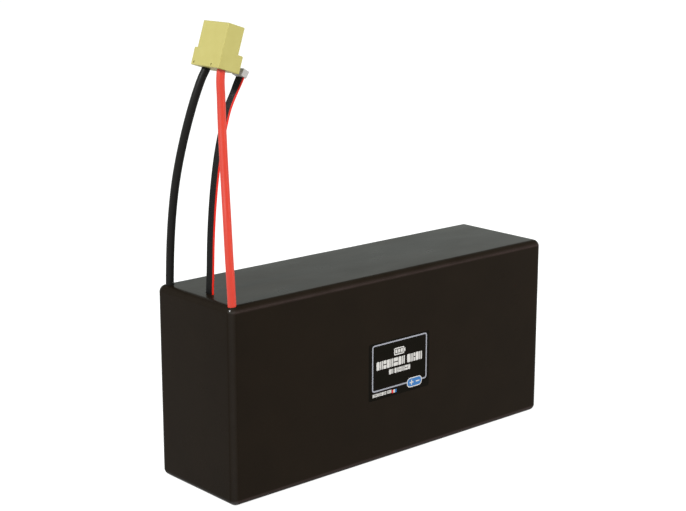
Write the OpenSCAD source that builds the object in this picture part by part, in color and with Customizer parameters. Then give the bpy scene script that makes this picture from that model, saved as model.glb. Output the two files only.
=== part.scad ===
// Soft-case lithium polymer battery pack for drones and large models.
// Five pouch cells stand side by side on their long edges inside a heat-shrink jacket.
// The cell tabs meet a tab board at the lead end, and two power leads and a balance
// ribbon rise from that end to a power connector and a small balance plug.
//
// Frame: origin at the bottom centre of the pack, +X from the lead end to the tail end,
// -Y is the face with the label, +Z up. Millimetres.

/* [Pack] */
// Length of the pack, from the lead end to the tail end
pack_l = 207; // [190:1:240]
// Depth of the pack, across the stack of cells
pack_d = 57.5; // [57.5:0.5:70]
// Height of the pack, standing on its long edge
pack_h = 95; // [92:1:110]
// Radius of the pack's edges
edge_r = 3.5; // [3.3:0.1:4]
// Wall thickness of the heat-shrink jacket
jacket_t = 0.8; // [0.5:0.1:0.9]

/* [Cells] */
// Number of pouch cells in series
cell_count = 5; // [5:1:5]
// Gap between neighbouring cells
cell_gap = 0.6; // [0.4:0.1:1]
// Thickness of a cell's laminated foil
foil_t = 0.3; // [0.2:0.05:0.5]
// Width of a cell's tabs
tab_w = 18; // [12:1:20]
// Thickness of a cell's tabs
tab_t = 0.3; // [0.2:0.05:0.5]

/* [Label] */
// Width of the label
label_w = 41; // [30:1:60]
// Height of the label
label_h = 29; // [20:1:36]
// Height of the label's middle above the base
label_z = 46.8; // [40:0.1:55]

/* [Leads] */
// Outer diameter of the two power leads
lead_d = 3.9; // [3:0.1:4.2]
// Outer diameter of one balance wire
wire_d = 0.9; // [0.6:0.1:0.9]
// Spacing of the wires in the balance ribbon
wire_pitch = 0.9; // [0.9:0.05:1]

/* [Power connector] */
// Short side of the connector's mating block
plug_x = 9.6; // [9:0.1:12]
// Long side of the connector's mating block
plug_y = 18.5; // [17.5:0.1:22]
// Length of the connector along its axis
plug_l = 20.5; // [18:0.5:30]
// Distance between the two contacts
contact_pitch = 11; // [10:0.1:11]
// Bore of the socket contacts
socket_bore = 4.5; // [4:0.1:4.5]
// Height of the rear cap
cap_h = 8.1; // [7:0.1:8.2]
// How far the rear cap stands out past the mating block, towards the tail end
cap_step_x = 2.8; // [0.5:0.1:4]
// How far the rear cap stands out past the mating block, towards the back
cap_step_y = 2.1; // [0.5:0.1:4]

/* [Balance plug] */
// Thickness of the balance plug
balance_x = 3.6; // [3.4:0.1:5]
// Width of the balance plug
balance_y = 7; // [6.6:0.1:9]
// Length of the balance plug along its axis
balance_l = 3.5; // [3.2:0.1:6]
// Spacing of the balance plug's contacts
balance_pitch = 1; // [0.95:0.05:1]

/* [Hidden] */

$fn = 48;
cut = 1;             // how far a cutting solid runs past the face it cuts
clear = 0.05;        // clearance of a loose inner piece
label_t = 0.2;       // thickness of the label, which lies flush in the jacket
lead_r = lead_d / 2;
wire_r = wire_d / 2;

// Inside of the jacket
inner_l = pack_l - 2 * jacket_t;
inner_d = pack_d - 2 * jacket_t;
inner_r = edge_r - jacket_t;

// Places along X, from the lead end
tab_face_x = -pack_l / 2 + 9;          // outer face of the tab board
tab_board_t = 1.6;
link_t = 0.8;
tab_end_x = tab_face_x - link_t - 1;   // free end of every tab
terrace_l = 6.4;                       // sealed foil margin that the tabs come through
cell_x0 = tab_face_x + tab_board_t + 0.5 + terrace_l;
cell_x1 = pack_l / 2 - 4.5;
cell_l = cell_x1 - cell_x0;

// Layers across Y, from the jacket inwards
tape_t = 0.15;
board_t = 0.9;
stack_d = inner_d - 2 * (clear + tape_t + clear + board_t + clear);
cell_t = (stack_d - (cell_count - 1) * cell_gap) / cell_count;
board_y = stack_d / 2 + clear;
function cell_y(k) = (k - (cell_count + 1) / 2) * (cell_t + cell_gap);

// Layers up Z, from the jacket inwards
liner_t = 1;
tape_z0 = jacket_t + clear + liner_t + clear;
cell_z0 = tape_z0 + tape_t + clear;
cell_h = pack_h - 2 * cell_z0;
foil_r = 2;
terrace_t = 0.9;

// Tab heights: odd cells carry the positive tab high, even cells carry it low
tab_z_high = pack_h * 0.65;
tab_z_low = pack_h * 0.35;
function odd(k) = k % 2 == 1;
function positive_z(k) = odd(k) ? tab_z_high : tab_z_low;
function negative_z(k) = odd(k) ? tab_z_low : tab_z_high;
slot_t = tab_t + 0.4;
slot_w = tab_w + 0.6;
link_edge = 3.2;     // link copper beyond the tab it takes
link_h = tab_w + 4;

// Solder posts where the power leads end on the terminals
conductor_r = 1.3;
post_l = 12;
post_w = 2.6;

// Places of the two connectors at the ends of the leads, as [from the lead end face, from the
// middle of the depth, above the top]
connector_place = [13.8, -1.05, 102.5];
connector_tilt = 18;
balance_place = [29.5, 1, 97.7];
balance_tilt = 31;
wire_entry_x = 0.8;  // the balance wires enter this far off the plug's middle
cap_floor = 2;       // thickness of the power connector's rear face

// Routes of the leads: [from the lead end face, from the middle of the depth, above the top].
// Each power lead ends on the axis of its contact, at the inner face of the rear cap's floor.
lead_origin = [-pack_l / 2, 0, pack_h];
function contact_point(side, z) =
    connector_place
    + [z * sin(connector_tilt), side * contact_pitch / 2, z * cos(connector_tilt)];
positive_route = [
    [3.5, -25, -6], [3.5, -25, 0], [3.5, -24.5, 9], [4.3, -22.5, 22], [5.9, -19.5, 36],
    [8.2, -15.5, 50], [10.1, -12, 65], [11.8, -9, 80], [12.8, -7.4, 91], [13.2, -6.7, 98.7],
    contact_point(-1, 0), contact_point(-1, cap_floor)
];
negative_route = [
    [4.5, 24, -6], [4.5, 24, 0], [4.5, 23.5, 9], [3.9, 21.5, 22], [3.2, 18.5, 36],
    [2.9, 15, 50], [3.6, 11, 65], [5.8, 7.5, 80], [8.5, 5.4, 91], [11.6, 4.6, 98.7],
    contact_point(1, 0), contact_point(1, cap_floor)
];
ribbon_route = [
    [8.5, -2, -11], [8.5, -2, 0], [9, -2, 10], [10, -1.5, 24], [11.5, -1, 38],
    [13.5, -0.5, 51], [16, 0, 63], [19.5, 0.5, 75], [22.9, 1, 84], [26.7, 1, 91],
    [28.8, 1, 94.8], [30.2, 1, 97.3], [30.7, 1, 98.2]
];
ring_steps = 3;      // rings made on each stretch of a route
lead_sides = 12;
wire_sides = 8;

// Inside the power connector
cap_wall = 0.9;
socket_r = 2.75;
socket_z0 = 4.2;
socket_z1 = plug_l - 0.4;
socket_floor = 8.5;
cup_depth = 3.3;
key_chamfer = 2;

// Inside the balance plug
chamber_w = 0.8;     // width of a contact's square chamber
contact_w = 0.76;
contact_bore = 0.46;
contact_z0 = 1.1;
crimp_l = 0.5;       // solid length at the rear of a contact
wire_count = cell_count + 1;

// ---------- shared shapes ----------

// A rectangle with round corners, centred
module rounded_rect(w, h, r) {
    square([w - 2 * r, h], center = true);
    square([w, h - 2 * r], center = true);
    for (sx = [-1, 1], sy = [-1, 1])
        translate([sx * (w / 2 - r), sy * (h / 2 - r)]) circle(r);
}

// A block with every edge rounded, centred in X and Y and standing on z = 0
module rounded_block(l, d, h, r) {
    intersection() {
        linear_extrude(h) rounded_rect(l, d, r);
        translate([0, d / 2, h / 2]) rotate([90, 0, 0]) linear_extrude(d) rounded_rect(l, h, r);
        translate([-l / 2, 0, h / 2]) rotate([90, 0, 90]) linear_extrude(l) rounded_rect(d, h, r);
    }
}

// A bar along X from x0 to x1, with round edges, its section centred on [y, z]
module bar(x0, x1, y, z, d, h, r) {
    translate([x0, y, z]) rotate([90, 0, 90]) linear_extrude(x1 - x0) rounded_rect(d, h, r);
}

// A plain box between two corners
module box(low, high) {
    translate(low) cube(high - low);
}

function unit(v) = v / norm(v);

// Tangent of a smooth curve through point i, on the side of a stretch of length d
function tangent(p, i) =
    i == 0 ? unit(p[1] - p[0])
    : i == len(p) - 1 ? unit(p[i] - p[i - 1])
    : let (a = p[i] - p[i - 1], b = p[i + 1] - p[i])
        unit(a * norm(b) / norm(a) + b * norm(a) / norm(b));

// A point on the smooth curve between points i and i + 1, t running from 0 to 1
function curve_point(p, i, t) =
    let (d = norm(p[i + 1] - p[i]))
    (2 * pow(t, 3) - 3 * pow(t, 2) + 1) * p[i]
    + (pow(t, 3) - 2 * pow(t, 2) + t) * d * tangent(p, i)
    + (3 * pow(t, 2) - 2 * pow(t, 3)) * p[i + 1]
    + (pow(t, 3) - pow(t, 2)) * d * tangent(p, i + 1);

function smooth_route(p, steps) = [
    for (i = [0 : len(p) - 2], j = [0 : steps - 1]) curve_point(p, i, j / steps),
    p[len(p) - 1]
];

// A tube of radius r swept along a route
module tube(route, r, sides) {
    p = smooth_route(route, ring_steps);
    n = len(p);
    turn = 180 / sides;   // puts a flat side, not a corner, towards each neighbour
    ring_points = [
        for (i = [0 : n - 1])
            let (t = tangent(p, i), across = unit(cross([0, 1, 0], t)), along = cross(t, across))
            for (j = [0 : sides - 1])
                let (a = 360 * j / sides + turn)
                p[i] + r * cos(a) * across + r * sin(a) * along
    ];
    walls = [
        for (i = [0 : n - 2], j = [0 : sides - 1])
            let (k = (j + 1) % sides)
            [i * sides + j, (i + 1) * sides + j, (i + 1) * sides + k, i * sides + k]
    ];
    first = [[for (j = [0 : sides - 1]) j]];
    last = [[for (j = [sides - 1 : -1 : 0]) (n - 1) * sides + j]];
    polyhedron(ring_points, concat(walls, first, last));
}

// Moves a lead's route from its exit frame to the pack's frame
function from_exit(route) = [for (p = route) lead_origin + p];

// ---------- jacket, label and packing ----------

module heat_shrink_jacket() {
    color([0.15, 0.14, 0.12])
    difference() {
        rounded_block(pack_l, pack_d, pack_h, edge_r);
        translate([0, 0, jacket_t])
            rounded_block(inner_l, inner_d, pack_h - 2 * jacket_t, inner_r);
        for (route = [positive_route, negative_route])
            translate(lead_origin + route[1]) cylinder(h = 4 * cut, r = lead_r + clear, center = true);
        ribbon_slot();
        box([-label_w / 2, -pack_d / 2 - cut, label_z - label_h / 2],
            [label_w / 2, -pack_d / 2 + label_t, label_z + label_h / 2]);
    }
}

// The slot that the balance ribbon comes out of
module ribbon_slot() {
    slot_r = wire_r + clear;
    reach = (wire_count - 1) / 2 * wire_pitch;
    translate(lead_origin + ribbon_route[1] - [0, 0, 2 * cut]) linear_extrude(4 * cut) {
        square([2 * slot_r, 2 * reach], center = true);
        for (s = [-1, 1]) translate([0, s * reach]) circle(slot_r);
    }
}

module spec_label() {
    color([0.11, 0.10, 0.08])
        box([-label_w / 2, -pack_d / 2, label_z - label_h / 2],
            [label_w / 2, -pack_d / 2 + label_t, label_z + label_h / 2]);
}

// Stiff glass-epoxy board over one side of the cell stack
module side_board(side) {
    color([0.75, 0.72, 0.45])
    translate([(cell_x0 + cell_x1) / 2, side * (board_y + board_t / 2), pack_h / 2])
        cube([cell_l, board_t, pack_h - 9.4], center = true);
}

module front_board() { side_board(-1); }
module rear_board() { side_board(1); }

module liner(x0, z0) {
    half_d = inner_d / 2 - inner_r - clear;
    color([0.25, 0.25, 0.26])
        box([x0, -half_d, z0], [inner_l / 2 - inner_r - clear, half_d, z0 + liner_t]);
}

module base_liner() { liner(-inner_l / 2 + inner_r + clear, jacket_t + clear); }
module top_liner() { liner(cell_x0 - 2, pack_h - jacket_t - clear - liner_t); }

module tail_foam() {
    color([0.3, 0.3, 0.32])
        box([cell_x1 + 0.2, -24.5, 4], [inner_l / 2 - 0.2, 24.5, pack_h - 4]);
}

// Foam that covers the joints at the lead end, between the two power leads
module lead_end_foam() {
    color([0.3, 0.3, 0.32])
        box([-inner_l / 2 + 0.1, -21.5, 4], [tab_end_x - 0.5, 20.5, pack_h - 5]);
}

// Two bands of tape around the cells and their boards
module stack_tape() {
    tape_w = 20;
    band_d = inner_d - 2 * clear;
    band_h = pack_h - 2 * tape_z0;
    band_r = 2.6;
    color([0.75, 0.45, 0.1])
    for (x = [-cell_l / 3, cell_l / 3]) difference() {
        bar(x - tape_w / 2, x + tape_w / 2, 0, pack_h / 2, band_d, band_h, band_r);
        bar(x - tape_w, x + tape_w, 0, pack_h / 2,
            band_d - 2 * tape_t, band_h - 2 * tape_t, band_r - tape_t);
    }
}

// ---------- cells ----------

// Foil pouch of one cell, with the sealed terrace that its two tabs come through
module cell(k) {
    y = cell_y(k);
    mid_z = cell_z0 + cell_h / 2;
    color([0.80, 0.81, 0.83])
    difference() {
        union() {
            bar(cell_x0, cell_x1, y, mid_z, cell_t, cell_h, foil_r);
            box([cell_x0 - terrace_l, y - terrace_t / 2, cell_z0 + 2],
                [cell_x0 + foil_t, y + terrace_t / 2, cell_z0 + cell_h - 2]);
        }
        bar(cell_x0 + foil_t, cell_x1 - foil_t, y, mid_z,
            cell_t - 2 * foil_t, cell_h - 2 * foil_t, foil_r - foil_t);
        for (z = [tab_z_low, tab_z_high])
            box([cell_x0 - terrace_l - cut, y - tab_t / 2, z - tab_w / 2],
                [cell_x0 + foil_t + cut, y + tab_t / 2, z + tab_w / 2]);
    }
}

// The stack of coated foils and separator inside a pouch
module electrode_stack(k) {
    margin = 0.5;
    color([0.20, 0.20, 0.22])
        bar(cell_x0 + foil_t + margin, cell_x1 - foil_t - margin, cell_y(k), cell_z0 + cell_h / 2,
            cell_t - 2 * foil_t - 0.1, cell_h - 2 * foil_t - 1, foil_r - foil_t);
}

module tab(k, z) {
    box([tab_end_x, cell_y(k) - tab_t / 2, z - tab_w / 2],
        [cell_x0 + foil_t + 0.5, cell_y(k) + tab_t / 2, z + tab_w / 2]);
}

module positive_tab(k) { color([0.85, 0.86, 0.88]) tab(k, positive_z(k)); }
module negative_tab(k) { color([0.75, 0.62, 0.50]) tab(k, negative_z(k)); }

// Adhesive foam pad between cells k and k + 1
module cell_pad(k) {
    y = cell_y(k) + (cell_t + cell_gap) / 2;
    half_t = cell_gap / 2 - 0.02;
    color([0.15, 0.15, 0.16])
        box([cell_x0 + 6, y - half_t, cell_z0 + 4], [cell_x1 - 4, y + half_t, cell_z0 + cell_h - 4]);
}

// ---------- tab board and joints ----------

// Slots for both tabs of every cell
module tab_slots() {
    for (k = [1 : cell_count], z = [tab_z_low, tab_z_high])
        translate([tab_face_x, cell_y(k), z]) cube([10, slot_t, slot_w], center = true);
}

module tab_board() {
    half_d = inner_d / 2 - 0.5;
    color([0.10, 0.35, 0.18])
    difference() {
        box([tab_face_x, -half_d, 6], [tab_face_x + tab_board_t, half_d, pack_h - 7]);
        tab_slots();
    }
}

// Copper plate on the board's outer face, from y0 to y1 at height z, slotted for its tabs
module bus_plate(y0, y1, z) {
    difference() {
        box([tab_face_x - link_t, y0, z - link_h / 2], [tab_face_x, y1, z + link_h / 2]);
        tab_slots();
    }
}

// Joins the negative tab of cell k to the positive tab of cell k + 1
module series_link(k) {
    color([0.72, 0.42, 0.25])
        bus_plate(cell_y(k) - link_edge, cell_y(k + 1) + link_edge, negative_z(k));
}

// Terminal plate with a solder post that reaches out to the lead's conductor
module terminal(side, k, z, route) {
    outer_y = side * (inner_d / 2 - 0.7);
    inner_y = cell_y(k) - side * link_edge;
    post_x = lead_origin.x + route[0].x + conductor_r;
    post_y0 = route[0].y - post_w / 2;
    color([0.72, 0.42, 0.25]) {
        bus_plate(min(inner_y, outer_y), max(inner_y, outer_y), z);
        box([post_x, post_y0, z - post_l / 2],
            [tab_face_x - link_t, post_y0 + post_w, z + post_l / 2]);
    }
}

module positive_terminal() { terminal(-1, 1, positive_z(1), positive_route); }
module negative_terminal() { terminal(1, cell_count, negative_z(cell_count), negative_route); }

// Solder along both sides of every tab, and a dab on every balance wire
module tab_solder() {
    dab_z = lead_origin.z + ribbon_route[0].z;
    color([0.78, 0.78, 0.80]) {
        for (k = [1 : cell_count], z = [tab_z_low, tab_z_high], s = [-1, 1])
            translate([tab_face_x - link_t - 0.35, cell_y(k) + s * (tab_t / 2 + 0.4), z])
                cube([0.7, 0.8, tab_w - 2], center = true);
        for (i = [1 : wire_count])
            translate([tab_face_x - 0.45, wire_y(i, wire_pitch), dab_z - 1])
                cube([0.9, wire_pitch - 0.1, 2], center = true);
    }
}

// ---------- power leads ----------

// Stretch of insulated lead inside the jacket, down to its terminal
module lead_inner(route, terminal_z) {
    foot_z = terminal_z + post_l / 2 + 1;
    translate([lead_origin.x + route[0].x, route[0].y, foot_z])
        cylinder(h = pack_h + route[0].z - foot_z, r = lead_r);
}

module positive_lead_inner() { color([0.85, 0.12, 0.08]) lead_inner(positive_route, positive_z(1)); }
module negative_lead_inner() {
    color([0.08, 0.08, 0.08]) lead_inner(negative_route, negative_z(cell_count));
}

// Bare conductor beside each solder post
module terminal_conductors() {
    color([0.80, 0.62, 0.45])
    for (end = [[positive_route[0], positive_z(1)], [negative_route[0], negative_z(cell_count)]])
        translate([lead_origin.x + end[0].x, end[0].y, end[1] - post_l / 2])
            cylinder(h = post_l + 1, r = conductor_r);
}

// Bare conductor in each socket's solder cup
module cup_conductors() {
    color([0.80, 0.62, 0.45])
    at_connector()
    for (side = [-1, 1]) translate([0, side * contact_pitch / 2, cap_floor])
        cylinder(h = socket_z0 + cup_depth - cap_floor, r = conductor_r);
}

module positive_lead() { color([0.85, 0.12, 0.08]) tube(from_exit(positive_route), lead_r, lead_sides); }
module negative_lead() { color([0.08, 0.08, 0.08]) tube(from_exit(negative_route), lead_r, lead_sides); }

// ---------- balance ribbon ----------

// Offset of wire i across the ribbon, for a given spacing
function wire_y(i, pitch) = ribbon_route[0].y + wire_offset(i, pitch);
function wire_offset(i, pitch) = (i - (wire_count + 1) / 2) * pitch;

// Wire 1 is the positive one, at the front; the wires spread to the plug's spacing at its end
module balance_wire(i) {
    last = len(ribbon_route) - 1;
    route = [
        for (n = [0 : last])
            ribbon_route[n] + [0, wire_offset(i, n < last - 2 ? wire_pitch : balance_pitch), 0]
    ];
    color(i == 1 ? [0.85, 0.12, 0.08] : [0.08, 0.08, 0.08])
        tube(from_exit(route), wire_r, wire_sides);
}

// ---------- power connector ----------

// Frame of the power connector: origin at its rear face, midway between the contacts, +Z out
// of its mouth
module at_connector() {
    translate(lead_origin + connector_place) rotate([0, connector_tilt, 0]) children();
}

// Outline of the mating block: one corner is cut off, so that it mates only one way round
module keyed_outline() {
    difference() {
        square([plug_x, plug_y], center = true);
        translate([plug_x / 2, plug_y / 2]) rotate(45)
            square(key_chamfer * sqrt(2), center = true);
    }
}

module connector_housing() {
    color([0.84, 0.80, 0.50])
    at_connector() difference() {
        translate([0, 0, cap_h]) linear_extrude(plug_l - cap_h) keyed_outline();
        for (side = [-1, 1]) translate([0, side * contact_pitch / 2, cap_h - cut])
            cylinder(h = plug_l, r = socket_r);
    }
}

// Cap that closes the rear over the solder joints, with a hole for each lead. It is flush with
// the mating block on two sides and stands out past it on the other two.
module connector_rear_cap() {
    color([0.84, 0.80, 0.50])
    at_connector() difference() {
        box([-plug_x / 2, -plug_y / 2, 0], [plug_x / 2 + cap_step_x, plug_y / 2 + cap_step_y, cap_h]);
        box([-plug_x / 2 + cap_wall, -plug_y / 2 + cap_wall, cap_floor],
            [plug_x / 2 - cap_wall, plug_y / 2 - cap_wall, cap_h + cut]);
        for (side = [-1, 1]) translate([0, side * contact_pitch / 2, -cut])
            cylinder(h = cap_floor + 2 * cut, r = lead_r + 0.1);
    }
}

// Gold-plated socket: contact bore at the front, solder cup at the back
module socket(side) {
    color([0.90, 0.72, 0.30])
    at_connector() translate([0, side * contact_pitch / 2, 0]) difference() {
        translate([0, 0, socket_z0]) cylinder(h = socket_z1 - socket_z0, r = socket_r);
        translate([0, 0, socket_floor]) cylinder(h = socket_z1, r = socket_bore / 2);
        translate([0, 0, socket_z0 - cut]) cylinder(h = cup_depth + cut, r = conductor_r);
    }
}

module positive_socket() { socket(-1); }
module negative_socket() { socket(1); }

// ---------- balance plug ----------

module at_balance_plug() {
    translate(lead_origin + balance_place) rotate([0, balance_tilt, 0]) children();
}

// One chamber for each contact, open at the rear for its wire and at the front for its pin
module balance_plug_housing() {
    color([0.90, 0.90, 0.88])
    at_balance_plug() difference() {
        translate([0, 0, balance_l / 2]) cube([balance_x, balance_y, balance_l], center = true);
        for (i = [1 : wire_count]) translate([wire_entry_x, wire_offset(i, balance_pitch), 0]) {
            translate([0, 0, -cut]) cylinder(h = 1 + cut, r = wire_r + 0.02);
            translate([0, 0, balance_l / 2])
                cube([chamber_w, chamber_w, balance_l + cut], center = true);
        }
    }
}

// Crimped contacts, a square tube in each chamber
module balance_contacts() {
    color([0.80, 0.80, 0.78])
    at_balance_plug()
    for (i = [1 : wire_count])
        translate([wire_entry_x, wire_offset(i, balance_pitch), contact_z0]) difference() {
            translate([-contact_w / 2, -contact_w / 2, 0])
                cube([contact_w, contact_w, balance_l - contact_z0 - 0.3]);
            translate([-contact_bore / 2, -contact_bore / 2, crimp_l])
                cube([contact_bore, contact_bore, balance_l]);
        }
}

// ---------- nodes ----------

heat_shrink_jacket();
spec_label();
front_board();
rear_board();
base_liner();
top_liner();
tail_foam();
lead_end_foam();
stack_tape();
for (k = [1 : cell_count]) {
    cell(k);
    electrode_stack(k);
    positive_tab(k);
    negative_tab(k);
}
for (k = [1 : cell_count - 1]) {
    cell_pad(k);
    series_link(k);
}
tab_board();
positive_terminal();
negative_terminal();
tab_solder();
positive_lead_inner();
negative_lead_inner();
terminal_conductors();
cup_conductors();
positive_lead();
negative_lead();
for (i = [1 : wire_count])
    balance_wire(i);
connector_housing();
connector_rear_cap();
positive_socket();
negative_socket();
balance_plug_housing();
balance_contacts();
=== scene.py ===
"""Looks of a soft-case lithium polymer battery pack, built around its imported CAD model.

Lengths are in millimetres up to the point where a mesh, curve, light or camera is made, and
in metres there. The frame is the CAD's: origin at the bottom centre of the pack, +X from the
lead end to the tail end, -Y the face with the label, +Z up.
"""

import math

import bmesh
import bpy
from mathutils import Matrix, Vector, noise


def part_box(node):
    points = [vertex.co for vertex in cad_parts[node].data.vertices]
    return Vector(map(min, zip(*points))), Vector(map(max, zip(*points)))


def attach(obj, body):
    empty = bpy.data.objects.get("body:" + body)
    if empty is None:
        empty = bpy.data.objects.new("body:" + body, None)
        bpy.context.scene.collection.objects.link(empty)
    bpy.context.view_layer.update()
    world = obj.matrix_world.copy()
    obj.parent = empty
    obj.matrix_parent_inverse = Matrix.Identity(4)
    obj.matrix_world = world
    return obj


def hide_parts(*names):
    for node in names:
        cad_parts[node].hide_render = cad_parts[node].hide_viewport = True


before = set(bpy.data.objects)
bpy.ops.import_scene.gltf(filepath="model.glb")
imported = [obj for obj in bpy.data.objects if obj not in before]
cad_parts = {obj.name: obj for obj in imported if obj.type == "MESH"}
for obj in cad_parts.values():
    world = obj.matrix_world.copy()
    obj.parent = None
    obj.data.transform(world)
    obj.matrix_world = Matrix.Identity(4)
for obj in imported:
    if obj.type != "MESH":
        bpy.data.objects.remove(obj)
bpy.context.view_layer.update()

MM = 0.001
WELD = 0.0001 * MM       # points closer than this become one point
SLIVER = 0.002 * MM      # edges shorter than this are taken out after cutting
SHARP_ANGLE = 35         # edges that turn by more degrees than this stay crisp
BODY = "root"
scene = bpy.context.scene


# ---------- objects and meshes ----------

def add_object(name, data):
    made = bpy.data.objects.new(name, data)
    scene.collection.objects.link(made)
    return made


def mesh_object(name, points, faces, place=None):
    """A mesh object from points in millimetres, moved by the matrix place, also in millimetres."""
    place = place or Matrix.Identity(4)
    mesh = bpy.data.meshes.new(name)
    mesh.from_pydata([(place @ Vector(p)) * MM for p in points], [], faces)
    work = bmesh.new()
    work.from_mesh(mesh)
    bmesh.ops.remove_doubles(work, verts=work.verts, dist=WELD)
    work.to_mesh(mesh)
    work.free()
    return add_object(name, mesh)


def joined(name, solids, place=None):
    """One mesh object from several (points, faces) solids."""
    points, faces = [], []
    for more_points, more_faces in solids:
        start = len(points)
        points += more_points
        faces += [tuple(start + i for i in face) for face in more_faces]
    return mesh_object(name, points, faces, place)


def finish_mesh(piece, cutters=()):
    """Cuts the cutters out of the piece, applies that, and sets smooth shading with crisp flats."""
    for cutter in cutters:
        cut = piece.modifiers.new("cut", "BOOLEAN")
        cut.operation = "DIFFERENCE"
        cut.solver = "EXACT"
        cut.object = cutter
    if cutters:
        apply_modifiers(piece)
        drop_slivers(piece.data)
    for cutter in cutters:
        bpy.data.objects.remove(cutter)
    piece.data.shade_smooth()
    piece.data.set_sharp_from_angle(angle=math.radians(SHARP_ANGLE))
    flats = piece.modifiers.new("flats", "WEIGHTED_NORMAL")
    flats.keep_sharp = True
    flats.weight = 80
    apply_modifiers(piece)


def drop_slivers(mesh):
    """Takes out the faces without area and the spare points along edges that cutting can leave."""
    work = bmesh.new()
    work.from_mesh(mesh)
    bmesh.ops.dissolve_degenerate(work, dist=SLIVER, edges=work.edges)
    spare = [point for point in work.verts if len(point.link_edges) == 2]
    bmesh.ops.dissolve_verts(work, verts=spare)
    work.to_mesh(mesh)
    work.free()


def apply_modifiers(piece):
    graph = bpy.context.evaluated_depsgraph_get()
    graph.update()
    done = bpy.data.meshes.new_from_object(piece.evaluated_get(graph))
    old = piece.data
    piece.modifiers.clear()
    piece.data = done
    done.name = old.name
    bpy.data.meshes.remove(old)


def loft(loops):
    """A closed solid through loops of equal length, each counter-clockwise seen from the last."""
    count = len(loops[0])
    points = [tuple(p) for loop in loops for p in loop]
    faces = []
    for level in range(len(loops) - 1):
        low = level * count
        for i in range(count):
            j = (i + 1) % count
            faces.append((low + i, low + j, low + count + j, low + count + i))
    faces.append(tuple(reversed(range(count))))
    faces.append(tuple(range(len(points) - count, len(points))))
    return points, faces


def ring(outer, inner, z0, z1):
    """A flat closed ring between two outlines with equal numbers of points."""
    count = len(outer)
    points = [(p.x, p.y, z) for z in (z0, z1) for loop in (outer, inner) for p in loop]
    faces = []
    low_out, low_in, top_out, top_in = (k * count for k in range(4))
    for i in range(count):
        j = (i + 1) % count
        faces.append((low_out + i, low_out + j, top_out + j, top_out + i))
        faces.append((top_out + i, top_out + j, top_in + j, top_in + i))
        faces.append((top_in + i, top_in + j, low_in + j, low_in + i))
        faces.append((low_in + i, low_in + j, low_out + j, low_out + i))
    return points, faces


def lathe(profile, sides, centre=(0, 0)):
    """A solid of revolution about Z. The profile is (radius, z) points and starts and ends on the axis."""
    points = []
    faces = []
    for radius, z in profile[1:-1]:
        for i in range(sides):
            a = 2 * math.pi * i / sides
            points.append((centre[0] + radius * math.cos(a), centre[1] + radius * math.sin(a), z))
    rows = len(profile) - 2
    for row in range(rows - 1):
        for i in range(sides):
            j = (i + 1) % sides
            low, high = row * sides, (row + 1) * sides
            faces.append((low + i, low + j, high + j, high + i))
    first, last = len(points), len(points) + 1
    points += [(*centre, profile[0][1]), (*centre, profile[-1][1])]
    top = (rows - 1) * sides
    for i in range(sides):
        j = (i + 1) % sides
        faces.append((first, j, i))
        faces.append((last, top + i, top + j))
    return points, faces


def rectangle(width, height, centre=(0, 0)):
    x, y = centre
    return [
        Vector((x + sx * width / 2, y + sy * height / 2))
        for sx, sy in ((-1, -1), (1, -1), (1, 1), (-1, 1))
    ]


def round_outline(corners, radius, inset=0.0, steps=4):
    """A convex outline, counter-clockwise, with round corners, moved inwards by inset."""
    outline = []
    for i, corner in enumerate(corners):
        before = corner - corners[i - 1]
        after = corners[(i + 1) % len(corners)] - corner
        out_a = Vector((before.y, -before.x)).normalized()
        out_b = Vector((after.y, -after.x)).normalized()
        centre = corner - (out_a + out_b) * radius / (1 + out_a.dot(out_b))
        turn = out_a.angle(out_b)
        for n in range(steps + 1):
            a = turn * n / steps
            outward = Matrix.Rotation(a, 2) @ out_a
            outline.append(centre + outward * (radius - inset))
    return outline


def at_height(outline, z):
    return [(p.x, p.y, z) for p in outline]


def plate(corners, radius, z0, z1, steps=4):
    """A flat plate with round corners and plain edges."""
    outline = round_outline(corners, radius, 0.0, steps)
    return loft([at_height(outline, z0), at_height(outline, z1)])


def bottom_edge(z, radius, steps=5):
    """(height, inset) levels of a rounded bottom edge, going up."""
    turns = [math.pi / 2 * n / steps for n in range(steps + 1)]
    return tuple((z + radius * (1 - math.cos(a)), radius * (1 - math.sin(a))) for a in turns)


def top_edge(z, radius, steps=5):
    """(height, inset) levels of a rounded top edge, going up."""
    return tuple((2 * z - height, inset) for height, inset in reversed(bottom_edge(z, radius, steps)))


def prism(corners, radius, levels, steps=5):
    """A prism with round corners through (height, inset) levels."""
    return loft([
        at_height(round_outline(corners, radius, inset, steps), height)
        for height, inset in levels
    ])


def rounded_prism(corners, radius, z0, z1, edge, steps=5):
    """A prism with round corners whose end edges are rounded by edge."""
    return prism(corners, radius, bottom_edge(z0, edge, steps) + top_edge(z1, edge, steps), steps)


def box_solid(low, high):
    """A plain box between two corners, for cutting."""
    size = [h - l for l, h in zip(low, high)]
    centre = [(l + h) / 2 for l, h in zip(low, high)]
    outline = rectangle(size[0], size[1], centre[:2])
    return loft([at_height(outline, low[2]), at_height(outline, high[2])])


# ---------- materials ----------

def srgb(*values):
    """A linear colour from 0 to 255 display values."""
    linear = []
    for value in values:
        v = value / 255
        linear.append(v / 12.92 if v <= 0.04045 else ((v + 0.055) / 1.055) ** 2.4)
    return (*linear, 1.0)


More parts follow.
